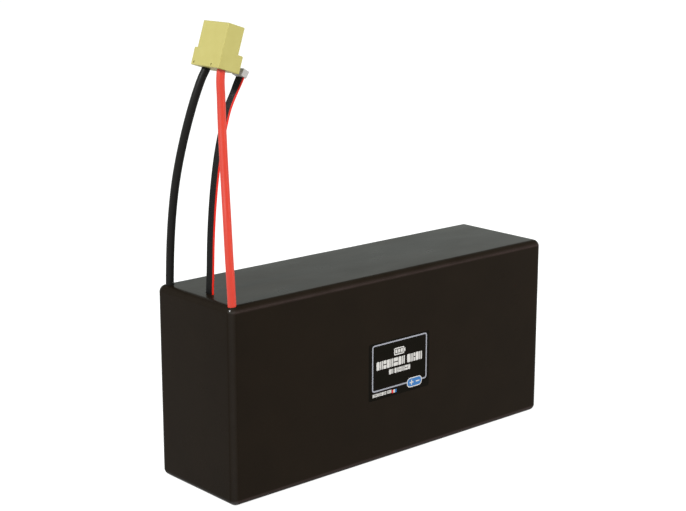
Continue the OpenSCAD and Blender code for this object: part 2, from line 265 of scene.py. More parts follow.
class Paint:
    """A procedural material: a Principled shader and short helpers for what feeds it."""

    def __init__(self, name, colour, rough=0.5, metal=0.0, specular=0.5, coat=0.0):
        self.material = bpy.data.materials.new(name)
        self.material.use_nodes = True
        self.tree = self.material.node_tree
        self.shader = self.tree.nodes["Principled BSDF"]
        self.set(self.shader, "Base Color", colour)
        self.set(self.shader, "Roughness", rough)
        self.set(self.shader, "Metallic", metal)
        self.set(self.shader, "Specular IOR Level", specular)
        self.set(self.shader, "Coat Weight", coat)
        self.colour = colour
        coordinates = self.node("ShaderNodeTexCoord")
        scale = self.node("ShaderNodeVectorMath", operation="SCALE")
        self.link(coordinates.outputs["Object"], scale.inputs[0])
        scale.inputs["Scale"].default_value = 1 / MM
        self.millimetres = scale.outputs["Vector"]

    def node(self, kind, **settings):
        made = self.tree.nodes.new(kind)
        for key, value in settings.items():
            setattr(made, key, value)
        return made

    def set(self, node, name, value):
        node.inputs[name].default_value = value

    def link(self, source, target):
        self.tree.links.new(source, target)

    def stretched(self, x, y, z):
        """Coordinates in millimetres, divided by a size along each axis."""
        made = self.node("ShaderNodeVectorMath", operation="DIVIDE")
        self.link(self.millimetres, made.inputs[0])
        made.inputs[1].default_value = (x, y, z)
        return made.outputs["Vector"]

    def noise(self, size, detail, vector=None):
        """Noise from 0 to 1 with features of that size in millimetres."""
        made = self.node("ShaderNodeTexNoise")
        self.link(vector or self.millimetres, made.inputs["Vector"])
        self.set(made, "Scale", 1 / size)
        self.set(made, "Detail", detail)
        return made.outputs["Fac"]

    def cells(self, size):
        """Distance from the middle of the nearest cell, in cells of that size in millimetres."""
        made = self.node("ShaderNodeTexVoronoi")
        self.link(self.millimetres, made.inputs["Vector"])
        self.set(made, "Scale", 1 / size)
        return made.outputs["Distance"]

    def waves(self, size, direction, distortion):
        """Bands across a direction, one every size millimetres."""
        made = self.node("ShaderNodeTexWave", bands_direction=direction)
        self.link(self.millimetres, made.inputs["Vector"])
        self.set(made, "Scale", math.pi / (10 * size))
        self.set(made, "Distortion", distortion)
        self.set(made, "Detail", 1.0)
        return made.outputs["Fac"]

    def ramp(self, value, low, high, to_low=0.0, to_high=1.0):
        """Value from low..high spread over to_low..to_high, and held beyond."""
        made = self.node("ShaderNodeMapRange")
        self.link(value, made.inputs["Value"])
        self.set(made, "From Min", low)
        self.set(made, "From Max", high)
        self.set(made, "To Min", to_low)
        self.set(made, "To Max", to_high)
        return made.outputs["Result"]

    def math(self, operation, a, b):
        made = self.node("ShaderNodeMath", operation=operation)
        for socket, value in zip(made.inputs, (a, b)):
            if isinstance(value, (int, float)):
                socket.default_value = value
            else:
                self.link(value, socket)
        return made.outputs["Value"]

    def tint(self, factor, other):
        """Mixes another colour into the base colour by factor."""
        made = self.node("ShaderNodeMix", data_type="RGBA")
        self.link(factor, made.inputs["Factor"])
        linked = self.shader.inputs["Base Color"].links
        if linked:
            self.link(linked[0].from_socket, made.inputs["A"])
        else:
            made.inputs["A"].default_value = self.colour
        made.inputs["B"].default_value = other
        self.link(made.outputs["Result"], self.shader.inputs["Base Color"])

    def roughen(self, value):
        self.link(value, self.shader.inputs["Roughness"])

    def bump(self, height, depth):
        """Bump from a 0 to 1 height that stands depth millimetres high."""
        made = self.node("ShaderNodeBump")
        self.link(height, made.inputs["Height"])
        self.set(made, "Distance", depth * MM)
        linked = self.shader.inputs["Normal"].links
        if linked:
            self.link(linked[0].from_socket, made.inputs["Normal"])
        self.link(made.outputs["Normal"], self.shader.inputs["Normal"])


def paint_piece(piece, paint):
    piece.data.materials.clear()
    piece.data.materials.append(paint.material)


def past_flats(paint, half, edge):
    """How far a point lies past the flat part of a rounded box standing on z = 0, towards its
    nearest end along X, Y and Z: 0 on a flat and up to edge at the very end."""
    away = paint.node("ShaderNodeVectorMath", operation="SUBTRACT")
    paint.link(paint.millimetres, away.inputs[0])
    away.inputs[1].default_value = (0, 0, half.z)
    size = paint.node("ShaderNodeVectorMath", operation="ABSOLUTE")
    paint.link(away.outputs["Vector"], size.inputs[0])
    past = paint.node("ShaderNodeVectorMath", operation="SUBTRACT")
    paint.link(size.outputs["Vector"], past.inputs[0])
    past.inputs[1].default_value = half - Vector((edge, edge, edge))
    over = paint.node("ShaderNodeVectorMath", operation="MAXIMUM")
    paint.link(past.outputs["Vector"], over.inputs[0])
    split = paint.node("ShaderNodeSeparateXYZ")
    paint.link(over.outputs["Vector"], split.inputs[0])
    return [split.outputs[axis] for axis in "XYZ"]


def film_paint(half, edge):
    """Dark heat-shrink film: faint mottling and grain, edges and corners that handling polished,
    and a painted sheen: a lighter reddish band where the two large faces turn into their long rounded
    edges, standing in for the reflection of a light."""
    made = Paint("heat_shrink_film", JACKET_COLOUR, specular=FILM_SPECULAR)
    made.tint(made.ramp(made.noise(22, 4), 0.3, 0.7, 0.0, 0.5), JACKET_SHADE)
    x, y, z = past_flats(made, half, edge)
    pairs = [made.math("MULTIPLY", a, b) for a, b in ((x, y), (y, z), (z, x))]
    bend = made.math("ADD", made.math("ADD", pairs[0], pairs[1]), pairs[2])
    # One mottle flecks both the worn edges and the painted sheen band below
    wear_and_sheen_mottle = made.noise(12, 4)
    on_edge = made.ramp(bend, 0.15 * edge**2, 0.5 * edge**2)
    rubbed = made.math("MULTIPLY", on_edge, made.ramp(wear_and_sheen_mottle, 0.3, 0.8))
    made.tint(made.math("MULTIPLY", rubbed, 0.35), JACKET_RUBBED)
    # Painted sheen: a lighter reddish band on the long rounded edges of the front and back faces stands in
    # for a light's reflection, flecked by the mottle
    turn_begins = made.ramp(z, 0.0, 0.25 * edge)
    turn_ends = made.ramp(z, 0.25 * edge, 0.7 * edge, 1.0, 0.0)
    large_face = made.ramp(y, 0.6 * edge, 0.95 * edge)
    band = made.math("MULTIPLY", made.math("MULTIPLY", turn_begins, turn_ends), large_face)
    painted_sheen = made.math("MULTIPLY", band, made.ramp(wear_and_sheen_mottle, 0.25, 0.6, 0.6, 1.0))
    made.tint(painted_sheen, JACKET_PAINTED_SHEEN)
    at_corner = made.math("MULTIPLY", pairs[0], z)
    polished = made.ramp(at_corner, 0.03 * edge**3, 0.12 * edge**3, 0.0, 0.4)
    upright = made.ramp(pairs[0], 0.2 * edge**2, 0.5 * edge**2, 0.0, 0.12)
    made.link(made.math("MAXIMUM", polished, upright), made.shader.inputs["Coat Weight"])
    made.set(made.shader, "Coat Roughness", 0.22)
    made.roughen(made.ramp(made.noise(14, 5, made.stretched(2.2, 1, 1)), 0.25, 0.75, 0.26, 0.32))
    made.bump(made.noise(9, 2), 0.03)
    made.bump(made.noise(0.45, 2), 0.004)
    return made


def plastic_paint(name, colour, shade, rough, specular):
    """Moulded nylon: slight clouding of the colour and a fine spark-eroded grain."""
    made = Paint(name, colour, rough, specular=specular)
    made.tint(made.ramp(made.noise(5, 4), 0.35, 0.75, 0.0, 0.6), shade)
    made.roughen(made.ramp(made.noise(2.0, 4), 0.3, 0.7, rough - 0.06, rough + 0.08))
    made.bump(made.noise(0.18, 3), 0.006)
    return made


def silicone_paint(name, colour, shade, rough, specular):
    """Soft wire insulation: dusty clouding and the faint ripple of the strands underneath."""
    made = Paint(name, colour, rough, specular=specular)
    made.tint(made.ramp(made.noise(3.5, 4, made.stretched(1, 1, 4)), 0.35, 0.75, 0.0, 0.6), shade)
    made.roughen(made.ramp(made.noise(1.2, 4), 0.3, 0.7, rough - 0.07, rough + 0.07))
    made.bump(made.noise(1.1, 2, made.stretched(1, 1, 3)), 0.02)
    made.bump(made.noise(0.12, 2), 0.003)
    return made


def metal_paint(name, colour, shade, rough, grain=(1, 1, 12), size=0.5):
    """Metal with tarnish clouds and fine drawn lines along its longest grain."""
    made = Paint(name, colour, rough, metal=1.0)
    made.tint(made.ramp(made.noise(4, 4), 0.35, 0.75, 0.0, 0.7), shade)
    lines = made.noise(size, 3, made.stretched(*grain))
    made.roughen(made.ramp(lines, 0.3, 0.7, rough - 0.08, rough + 0.12))
    made.bump(lines, 0.004)
    return made


def foam_paint(name, colour, shade):
    """Open foam: dark pores between pale cell walls."""
    made = Paint(name, colour, 0.9, specular=0.2)
    pores = made.cells(0.9)
    made.tint(made.ramp(pores, 0.2, 0.6, 0.7, 0.0), shade)
    made.bump(pores, 0.2)
    return made


def weave_paint(name, colour, shade, size, rough):
    """Glass cloth under resin: two crossing sets of yarns."""
    made = Paint(name, colour, rough, specular=0.5, coat=0.2)
    across, along = made.waves(size, "X", 0.3), made.waves(size, "Z", 0.3)
    yarns = made.math("MAXIMUM", across, along)
    made.tint(made.ramp(yarns, 0.3, 1.0, 0.8, 0.0), shade)
    made.bump(yarns, 0.02)
    return made


def layer_paint(name, colour, shade, size, direction, rough):
    """A stack of thin layers seen on edge, or the embossed ribs of a foil."""
    made = Paint(name, colour, rough, specular=0.4)
    bands = made.waves(size, direction, 0.4)
    made.tint(made.ramp(bands, 0.2, 0.8, 0.0, 0.8), shade)
    made.roughen(made.ramp(made.noise(3, 4), 0.3, 0.7, rough - 0.1, rough + 0.1))
    made.bump(bands, 0.03)
    return made


def ink_paint(name, colour):
    """Printed ink: nearly even, with the slight mottle of a screen print."""
    made = Paint(name, colour, 0.55, specular=0.3)
    shade = tuple(0.8 * c for c in colour[:3]) + (1.0,)
    made.tint(made.ramp(made.noise(0.5, 3), 0.4, 0.8, 0.0, 0.5), shade)
    made.bump(made.noise(0.2, 2), 0.002)
    return made


# ---------- camera ----------

CAMERA_PLACE = Vector((-498.64, -549.84, 275.72))
CAMERA_TURN = -41.525        # degrees about Z, from looking along +Y
CAMERA_DIP = 13.501          # degrees below level
CAMERA_ROLL = 0.041          # degrees about its own axis

camera_data = bpy.data.cameras.new("camera")
camera_data.sensor_width = 36
camera_data.lens = 80.25
camera_data.clip_end = 20
camera = add_object("camera", camera_data)
camera.matrix_world = (
    Matrix.Translation(CAMERA_PLACE * MM)
    @ Matrix.Rotation(math.radians(CAMERA_TURN), 4, "Z")
    @ Matrix.Rotation(math.radians(90 - CAMERA_DIP), 4, "X")
    @ Matrix.Rotation(math.radians(CAMERA_ROLL), 4, "Z")
)
scene.camera = camera


# ---------- leads and balance ribbon ----------

jacket_low, jacket_high = (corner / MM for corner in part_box("heat_shrink_jacket"))
LEAD_ORIGIN = Vector((jacket_low.x, 0, jacket_high.z))
LEAD_R = 1.95
WIRE_R = 0.45
WIRE_COUNT = 6
WIRE_PITCH = 0.9
BALANCE_PITCH = 1.0

# Places of the two connectors, measured as the routes below are
CONNECTOR_PLACE = Vector((13.8, -1.05, 102.5))
CONNECTOR_TILT = math.radians(18)
CONTACT_PITCH = 11
CAP_FLOOR = 2
BALANCE_PLACE = Vector((29.5, 1, 97.7))
BALANCE_TILT = math.radians(31)


def contact_point(side, z):
    """A point on the axis of a power contact, z above the connector's rear face."""
    along = Vector((math.sin(CONNECTOR_TILT), 0, math.cos(CONNECTOR_TILT)))
    return CONNECTOR_PLACE + z * along + Vector((0, side * CONTACT_PITCH / 2, 0))


# Routes from part.scad: [from the lead end face, from the middle of the depth, above the top]
POSITIVE_ROUTE = (
    (3.5, -25, -6), (3.5, -25, 0), (3.5, -24.5, 9), (4.3, -22.5, 22), (5.9, -19.5, 36),
    (8.2, -15.5, 50), (10.1, -12, 65), (11.8, -9, 80), (12.8, -7.4, 91), (13.2, -6.7, 98.7),
    contact_point(-1, 0), contact_point(-1, CAP_FLOOR),
)
NEGATIVE_ROUTE = (
    (4.5, 24, -6), (4.5, 24, 0), (4.5, 23.5, 9), (3.9, 21.5, 22), (3.2, 18.5, 36),
    (2.9, 15, 50), (3.6, 11, 65), (5.8, 7.5, 80), (8.5, 5.4, 91), (11.6, 4.6, 98.7),
    contact_point(1, 0), contact_point(1, CAP_FLOOR),
)
RIBBON_ROUTE = (
    (8.5, -2, -11), (8.5, -2, 0), (9, -2, 10), (10, -1.5, 24), (11.5, -1, 38),
    (13.5, -0.5, 51), (16, 0, 63), (19.5, 0.5, 75), (22.9, 1, 84), (26.7, 1, 91),
    (28.8, 1, 94.8), (30.2, 1, 97.3), (30.7, 1, 98.2),
)
ROUTE_STEPS = 3     # points made on each stretch of a route


def tangent(route, i):
    """Direction of the smooth curve through point i."""
    if i == 0:
        return (route[1] - route[0]).normalized()
    before = route[i] - route[i - 1]
    if i == len(route) - 1:
        return before.normalized()
    after = route[i + 1] - route[i]
    return (
        before * after.length / before.length + after * before.length / after.length
    ).normalized()


def smooth_route(route):
    """The route's own points with ROUTE_STEPS - 1 more on each stretch, on one smooth curve."""
    points = []
    for i in range(len(route) - 1):
        d = (route[i + 1] - route[i]).length
        for step in range(ROUTE_STEPS):
            t = step / ROUTE_STEPS
            points.append(
                (2 * t**3 - 3 * t**2 + 1) * route[i]
                + (t**3 - 2 * t**2 + t) * d * tangent(route, i)
                + (3 * t**2 - 2 * t**3) * route[i + 1]
                + (t**3 - t**2) * d * tangent(route, i + 1)
            )
    return points + [route[-1]]


def route_curve(name, route, radius, paint):
    """A round lead or wire as one open curve, and its length in metres."""
    points = [p * MM for p in smooth_route([LEAD_ORIGIN + Vector(p) for p in route])]
    curve = bpy.data.curves.new(name, "CURVE")
    curve.dimensions = "3D"
    curve.bevel_depth = radius * MM
    curve.bevel_resolution = 6
    curve.resolution_u = 4
    curve.use_fill_caps = True
    spline = curve.splines.new("BEZIER")
    spline.bezier_points.add(len(points) - 1)
    for i, knot in enumerate(spline.bezier_points):
        before = (points[i] - points[max(i - 1, 0)]).length
        after = (points[min(i + 1, len(points) - 1)] - points[i]).length
        knot.co = points[i]
        knot.handle_left = points[i] - tangent(points, i) * before / 3
        knot.handle_right = points[i] + tangent(points, i) * after / 3
    lead = add_object(name, curve)
    lead.data.materials.append(paint.material)
    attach(lead, BODY)
    return lead, sum((b - a).length for a, b in zip(points, points[1:]))


def wire_route(i):
    """Route of balance wire i, which spreads to the plug's pitch over its last points."""
    spread_from = len(RIBBON_ROUTE) - 3
    offset = i - (WIRE_COUNT + 1) / 2
    return [
        Vector(p) + Vector((0, offset * (WIRE_PITCH if n < spread_from else BALANCE_PITCH), 0))
        for n, p in enumerate(RIBBON_ROUTE)
    ]


red_silicone = silicone_paint("red_silicone", srgb(152, 35, 17), srgb(145, 28, 13), 0.45, 0.35)
black_silicone = silicone_paint("black_silicone", srgb(14, 13, 12), srgb(11, 10, 9), 0.5, 0.1)
red_wire = silicone_paint("red_wire_skin", srgb(162, 22, 6), srgb(156, 18, 5), 0.45, 0.15)
black_wire = silicone_paint("black_wire_skin", srgb(13, 12, 12), srgb(10, 9, 9), 0.45, 0.1)

positive_lead, positive_length = route_curve("red_lead", POSITIVE_ROUTE, LEAD_R, red_silicone)
negative_lead, negative_length = route_curve("black_lead", NEGATIVE_ROUTE, LEAD_R, black_silicone)
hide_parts("positive_lead")
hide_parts("negative_lead")

for number in range(1, WIRE_COUNT + 1):
    skin = red_wire if number == 1 else black_wire
    wire, wire_length = route_curve(f"ribbon_wire_{number}", wire_route(number), WIRE_R, skin)
    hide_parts(f"balance_wire_{number}")


# ---------- heat-shrink jacket ----------

JACKET_COLOUR = srgb(20, 15, 10)
JACKET_SHADE = srgb(16, 12, 8)
JACKET_RUBBED = srgb(30, 25, 21)
# Painted sheen: colour of the lighter band that stands in for a light's reflection on the long rounded
# edges
JACKET_PAINTED_SHEEN = srgb(36, 28, 26)
FILM_SPECULAR = 0.0185       # so low that only grazing views of the film show a sheen
EDGE_R = 3.5
JACKET_T = 0.8
GRID = 3.0           # spacing of the mesh on the flats
ARC_STEPS = 6        # mesh steps on half of each rounded edge
INNER_GRID = 25      # the same two on the jacket's unseen inner side
INNER_ARC_STEPS = 3
FILM_WAVE = 0.09     # depth of the film's gentle unevenness
FILM_WAVE_SIZE = 26
EXIT_CLEAR = 0.05    # gap between a lead and the hole that it comes out of

# Rolled lip of an exit: (height above the pack's top, widening of the hole)
LIP = ((-3.0, 0.0), (-0.45, 0.0), (-0.28, 0.04), (-0.14, 0.14), (-0.04, 0.3), (0.5, 0.9))


def stations(half, radius, spacing, arc_steps):
    """Places along one side of a face: (coordinate, slope of the outward direction there)."""
    core = half - radius
    count = max(1, round(2 * core / spacing))
    arc = [math.tan(math.pi / 4 * n / arc_steps) for n in range(1, arc_steps + 1)]
    flat = [(-core + 2 * core * n / count, 0.0) for n in range(count + 1)]
    return [(-core, -slope) for slope in reversed(arc)] + flat + [(core, slope) for slope in arc]


def soft_box(centre, half, radius, spacing, arc_steps, wave=0.0, outward=True):
    """A box with round edges, whose surface dips gently by up to wave. It faces inwards if not outward."""
    points, faces, index = [], [], {}

    def point_number(core, direction):
        place = centre + core + direction * radius
        key = tuple(round(c, 5) for c in place)
        if key not in index:
            dip = wave * (0.5 + 0.5 * noise.noise(place / FILM_WAVE_SIZE))
            index[key] = len(points)
            points.append(tuple(place - direction * dip))
        return index[key]

    for axis in range(3):
        u, v = (axis + 1) % 3, (axis + 2) % 3
        across = stations(half[u], radius, spacing, arc_steps)
        along = stations(half[v], radius, spacing, arc_steps)
        for sign in (-1, 1):
            rows = []
            for cu, slope_u in across:
                row = []
                for cv, slope_v in along:
                    core, direction = Vector((0, 0, 0)), Vector((0, 0, 0))
                    core[axis], core[u], core[v] = sign * (half[axis] - radius), cu, cv
                    direction[axis], direction[u], direction[v] = sign, slope_u, slope_v
                    row.append(point_number(core, direction.normalized()))
                rows.append(row)
            for a, b in zip(rows, rows[1:]):
                for k in range(len(along) - 1):
                    face = (a[k], b[k], b[k + 1], a[k + 1])
                    faces.append(face if (sign > 0) == outward else face[::-1])
    return points, faces


def stadium(centre, half_length, radius, grow, steps=16):
    """Outline of a slot along Y with round ends, grown by grow. With no length it is a circle."""
    outline = []
    for end in (1, -1):
        for n in range(steps + 1):
            a = math.pi * n / steps + (0 if end > 0 else math.pi)
            outline.append(
                Vector((
                    centre.x + (radius + grow) * math.cos(a),
                    centre.y + end * half_length + (radius + grow) * math.sin(a),
                ))
            )
    return outline


def exit_cutter(centre, half_length, radius):
    """A cutter for a hole with a softly rolled lip through the top of the jacket."""
    return loft([
        at_height(stadium(centre, half_length, radius, grow), jacket_high.z + rise)
        for rise, grow in LIP
    ])


jacket_half = (jacket_high - jacket_low) / 2
jacket_middle = Vector((0, 0, jacket_half.z))
inner_half = jacket_half - Vector((JACKET_T, JACKET_T, JACKET_T))
label_low, label_high = (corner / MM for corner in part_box("spec_label"))
label_w = label_high.x - label_low.x
label_h = label_high.z - label_low.z
LABEL_R = 1.2
LABEL_T = label_high.y - label_low.y

# Label frame: x along the pack, y up, z out of the pack's front
label_place = Matrix((
    (1, 0, 0, 0),
    (0, 0, -1, jacket_low.y),
    (0, 1, 0, (label_low.z + label_high.z) / 2),
    (0, 0, 0, 1),
))

jacket = joined("heat_shrink_film", [
    soft_box(jacket_middle, jacket_half, EDGE_R, GRID, ARC_STEPS, FILM_WAVE),
    soft_box(jacket_middle, inner_half, EDGE_R - JACKET_T, INNER_GRID, INNER_ARC_STEPS, outward=False),
])
hole_places = [LEAD_ORIGIN + Vector(route[1]) for route in (POSITIVE_ROUTE, NEGATIVE_ROUTE)]
slot_place = LEAD_ORIGIN + Vector(RIBBON_ROUTE[1])
exits = [exit_cutter(place, 0, LEAD_R + EXIT_CLEAR) for place in hole_places]
exits.append(exit_cutter(slot_place, (WIRE_COUNT - 1) / 2 * WIRE_PITCH, WIRE_R + EXIT_CLEAR))
pocket = plate(rectangle(label_w, label_h), LABEL_R, -LABEL_T, 1.0)
finish_mesh(
    jacket,
    [joined("exit_cutter", exits), mesh_object("pocket_cutter", *pocket, label_place)],
)
paint_piece(jacket, film_paint(jacket_half, EDGE_R))
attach(jacket, BODY)
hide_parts("heat_shrink_jacket")


# ---------- label ----------

INK_T = 0.02         # thickness of the print
FILM_TOP = -0.08     # the label's film ends this far below the pack's front plane
POCKET_GAP = 0.02    # gap between the label and the sides of its pocket

film_outline = rectangle(label_w - 2 * POCKET_GAP, label_h - 2 * POCKET_GAP)
label_film = joined(
    "label_film",
    [rounded_prism(film_outline, LABEL_R, -LABEL_T + 0.01, FILM_TOP, 0.05, 3)],
    label_place,
)
finish_mesh(label_film)
label_paint = Paint("label_film", srgb(12, 10, 7), 0.4, specular=0.01)
label_paint.tint(label_paint.ramp(label_paint.noise(6, 4), 0.35, 0.75, 0.0, 0.5), srgb(9, 8, 5))
label_paint.roughen(label_paint.ramp(label_paint.noise(1.5, 4), 0.3, 0.7, 0.36, 0.44))
label_paint.bump(label_paint.noise(0.3, 2), 0.003)
paint_piece(label_film, label_paint)
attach(label_film, BODY)
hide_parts("spec_label")


def print_piece(name, solids, paint):
    piece = joined(name, solids, label_place)
    finish_mesh(piece)
    paint_piece(piece, paint)
    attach(piece, BODY)


def ink_block(x0, x1, y0, y1, radius, lift=0):
    """A printed block with round corners, lift layers of ink above the film."""
    z = FILM_TOP + lift * INK_T
    middle = ((x0 + x1) / 2, (y0 + y1) / 2)
    return plate(rectangle(x1 - x0, y1 - y0, middle), radius, z, z + INK_T)


def ink_ring(x0, x1, y0, y1, radius, width, lift=0):
    """A printed outline of that width, with round corners."""
    z = FILM_TOP + lift * INK_T
    corners = rectangle(x1 - x0, y1 - y0, ((x0 + x1) / 2, (y0 + y1) / 2))
    return ring(
        round_outline(corners, radius, 0), round_outline(corners, radius, width), z, z + INK_T
    )


def dummy_line(x0, x1, y0, y1, widths, gap, space):
    """A line of plain blocks in the place of words. A width of 0 is a wider space."""
    taken = sum(widths) + gap * (sum(w > 0 for w in widths) - 1) + space * widths.count(0)
    stretch = (x1 - x0) / taken
    solids, x = [], x0
    height = y1 - y0
    for n, w in enumerate(widths):
        if w == 0:
            x += space * stretch
            continue
        wide = w * stretch
        if n % 3 == 1:        # split in two side by side
            solids.append(ink_block(x, x + 0.4 * wide, y0, y1, 0.15 * wide))
            solids.append(ink_block(x + 0.6 * wide, x + wide, y0, y1, 0.15 * wide))
        elif n % 3 == 2:      # split in two, one above the other
            solids.append(ink_block(x, x + wide, y0, y0 + 0.44 * height, 0.15 * wide))
            solids.append(ink_block(x, x + wide, y1 - 0.44 * height, y1, 0.15 * wide))
        else:
            solids.append(ink_block(x, x + wide, y0, y1, 0.2 * wide))
        x += wide + gap * stretch
    return solids


white_ink = ink_paint("white_ink", srgb(152, 149, 146))
grey_ink = ink_paint("grey_ink", srgb(112, 112, 119))
blue_ink = ink_paint("blue_ink", srgb(30, 78, 125))
red_ink = ink_paint("red_ink", srgb(160, 12, 7))

# Places on the label, from its middle: (left, right, bottom, top)
FRAME_BOX = (-18.2, 18.9, -10.3, 13.6)
SIGN_BOX = (-3.6, 3.2, 5.9, 9.6)
RATING_BOX = (-15.3, 15.5, 0.5, 4.7)
ENERGY_BOX = (-6.9, 7.4, -3.1, -0.6)
MAKER_BOX = (-17.8, -5.3, -12.9, -11.2)
BADGE_BOX = (5.3, 15.6, -12.9, -7.9)
FRAME_W = 0.72
FRAME_R = 1.5
BADGE_R = 2.2
BADGE_RIM = 0.45

print_piece("label_frame", [ink_ring(*FRAME_BOX, FRAME_R, FRAME_W)], grey_ink)

# A battery sign: its outline, its pole and three bars of charge
BAR_W, BAR_LOW, BAR_HIGH = 1.4, 6.8, 8.7
battery_sign = [ink_ring(*SIGN_BOX, 0.6, 0.55), ink_block(3.3, 4.0, 6.9, 8.6, 0.2)]
for left in (-2.7, -0.9, 0.9):
    battery_sign.append(ink_block(left, left + BAR_W, BAR_LOW, BAR_HIGH, 0.2))
rating = dummy_line(*RATING_BOX, (2, 2, 2, 2, 2, 3, 2, 2, 0, 2, 2, 1, 2, 2), 0.35, 1.4)
energy = dummy_line(*ENERGY_BOX, (2, 2, 0, 2, 2, 2, 1, 2, 3, 2), 0.4, 0.8)
maker = dummy_line(*MAKER_BOX, (2, 2, 2, 2, 2, 2, 2, 2, 2, 0, 2, 2, 2), 0.5, 0.9)
print_piece("label_print", battery_sign + rating + energy + maker, white_ink)

# Three plain patches in the print's colours
PATCH_X, PATCH_PITCH, PATCH_W = -5.0, 1.1, 1.05
PATCH_LOW, PATCH_HIGH = -13.2, -11.5
for n, (colour, ink) in enumerate((("red", red_ink), ("white", white_ink), ("blue", blue_ink))):
    left = PATCH_X + n * PATCH_PITCH
    patch = ink_block(left, left + PATCH_W, PATCH_LOW, PATCH_HIGH, 0.1)
    print_piece(f"label_patch_{colour}", [patch], ink)

# A badge with plus and minus signs, over the frame's lower edge
print_piece("label_badge", [ink_block(*BADGE_BOX, BADGE_R, 1)], blue_ink)
print_piece("label_signs", [
    ink_ring(*BADGE_BOX, BADGE_R, BADGE_RIM, 2),
    ink_block(7.2, 9.8, -10.7, -10.1, 0.1, 2),
    ink_block(8.2, 8.8, -10.05, -9.1, 0.1, 2),
    ink_block(8.2, 8.8, -11.7, -10.75, 0.1, 2),
    ink_block(11.4, 14.0, -10.7, -10.1, 0.1, 2),
], white_ink)


# ---------- power connector ----------

PLUG_X, PLUG_Y, PLUG_L = 9.6, 18.5, 20.5
PLUG_CORNER_R, PLUG_EDGE_R = 0.6, 0.35
CAP_H, CAP_WALL = 8.1, 0.9
CAP_STEP_X, CAP_STEP_Y = 2.8, 2.1
SOCKET_R, BORE_R, CUP_R = 2.75, 2.25, 1.3
SOCKET_TOP = PLUG_L - 0.4
KEY = 2              # cut off one corner of the mating block
MOUTH_CHAMFER = 0.4
DOT_R, DOT_DEPTH = 0.58, 0.4
DOTS = ((-3.8, 1.25), (9.05, 1.3))      # (y, z) of two small sink marks on the rear cap

connector_place = (
    Matrix.Translation(LEAD_ORIGIN + CONNECTOR_PLACE) @ Matrix.Rotation(CONNECTOR_TILT, 4, "Y")
)
yellow_nylon = plastic_paint("yellow_nylon", srgb(138, 131, 78), srgb(133, 125, 71), 0.5, 0.13)


def drill(x, y, z0, z1, radius, sides=32):
    """A round cutter along Z."""
    outline = [
        Vector((x + radius * math.cos(2 * math.pi * n / sides),
                y + radius * math.sin(2 * math.pi * n / sides)))
        for n in range(sides)
    ]
    return loft([at_height(outline, z0), at_height(outline, z1)])


def countersunk(x, y, z_top, radius, depth):
    """A bore cutter from z_top down, whose cone past z_top leaves a small chamfer at the mouth."""
    return lathe(
        ((0, z_top - depth), (radius, z_top - depth), (radius, z_top - MOUTH_CHAMFER),
         (radius + MOUTH_CHAMFER + 1, z_top + 1), (0, z_top + 1)),
        40, (x, y),
    )


keyed_corners = [
    Vector((-PLUG_X / 2, -PLUG_Y / 2)), Vector((PLUG_X / 2, -PLUG_Y / 2)),
    Vector((PLUG_X / 2, PLUG_Y / 2 - KEY)), Vector((PLUG_X / 2 - KEY, PLUG_Y / 2)),
    Vector((-PLUG_X / 2, PLUG_Y / 2)),
]
housing_levels = ((CAP_H, 0.0),) + top_edge(PLUG_L, PLUG_EDGE_R)
housing = joined(
    "connector_block", [prism(keyed_corners, PLUG_CORNER_R, housing_levels)], connector_place
)
bores = [countersunk(0, s * CONTACT_PITCH / 2, PLUG_L, SOCKET_R, PLUG_L) for s in (-1, 1)]
finish_mesh(housing, [joined("bore_cutter", bores, connector_place)])


def cap_outline(inset_all, inset_stepped):
    """The cap's outline. Only its stepped sides move in by inset_stepped, so that the other two
    stay flush with the block."""
    x0, y0 = -PLUG_X / 2, -PLUG_Y / 2
    x1 = PLUG_X / 2 + CAP_STEP_X - inset_stepped
    y1 = PLUG_Y / 2 + CAP_STEP_Y - inset_stepped
    corners = rectangle(x1 - x0, y1 - y0, ((x0 + x1) / 2, (y0 + y1) / 2))
    return round_outline(corners, PLUG_CORNER_R, inset_all)


cap_levels = [at_height(cap_outline(grow, 0), z) for z, grow in bottom_edge(0, 0.4)]
cap_levels += [at_height(cap_outline(0, grow), z) for z, grow in top_edge(CAP_H, 0.5)]
cap = joined("connector_cap", [loft(cap_levels)], connector_place)
hollow = plate(
    rectangle(PLUG_X - 2 * CAP_WALL, PLUG_Y - 2 * CAP_WALL), 0.4, CAP_FLOOR, CAP_H + 1
)
cap_cuts = [hollow]
for s in (-1, 1):
    cap_cuts.append(drill(0, s * CONTACT_PITCH / 2, -1, CAP_FLOOR + 1, LEAD_R + 0.1))
dot_place = connector_place @ Matrix.Translation((-PLUG_X / 2, 0, 0)) @ Matrix.Rotation(
    math.pi / 2, 4, "Y"
)
dots = [drill(-z, y, -1, DOT_DEPTH, DOT_R, 16) for y, z in DOTS]
finish_mesh(
    cap, [joined("cap_cutter", cap_cuts, connector_place), joined("dot_cutter", dots, dot_place)]
)
for piece in (housing, cap):
    paint_piece(piece, yellow_nylon)
    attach(piece, BODY)
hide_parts("connector_housing")
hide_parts("connector_rear_cap")

gold = metal_paint("gold_plate", srgb(232, 190, 96), srgb(214, 166, 78), 0.24)
SOCKET_PROFILE = (
    (0, 7.5), (CUP_R, 7.5), (CUP_R, 4.45), (CUP_R + 0.2, 4.2), (2.5, 4.2), (2.7, 4.4),
    (2.7, SOCKET_TOP - 0.2), (2.58, SOCKET_TOP), (2.5, SOCKET_TOP), (BORE_R, SOCKET_TOP - 0.5),
    (BORE_R, 8.9), (0, 8.5),
)
for name, side in (("positive", -1), ("negative", 1)):
    socket = mesh_object(
        f"{name}_contact", *lathe(SOCKET_PROFILE, 48, (0, side * CONTACT_PITCH / 2)), connector_place
    )
    finish_mesh(socket)
    paint_piece(socket, gold)
    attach(socket, BODY)
    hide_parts(f"{name}_socket")


# ---------- balance plug ----------

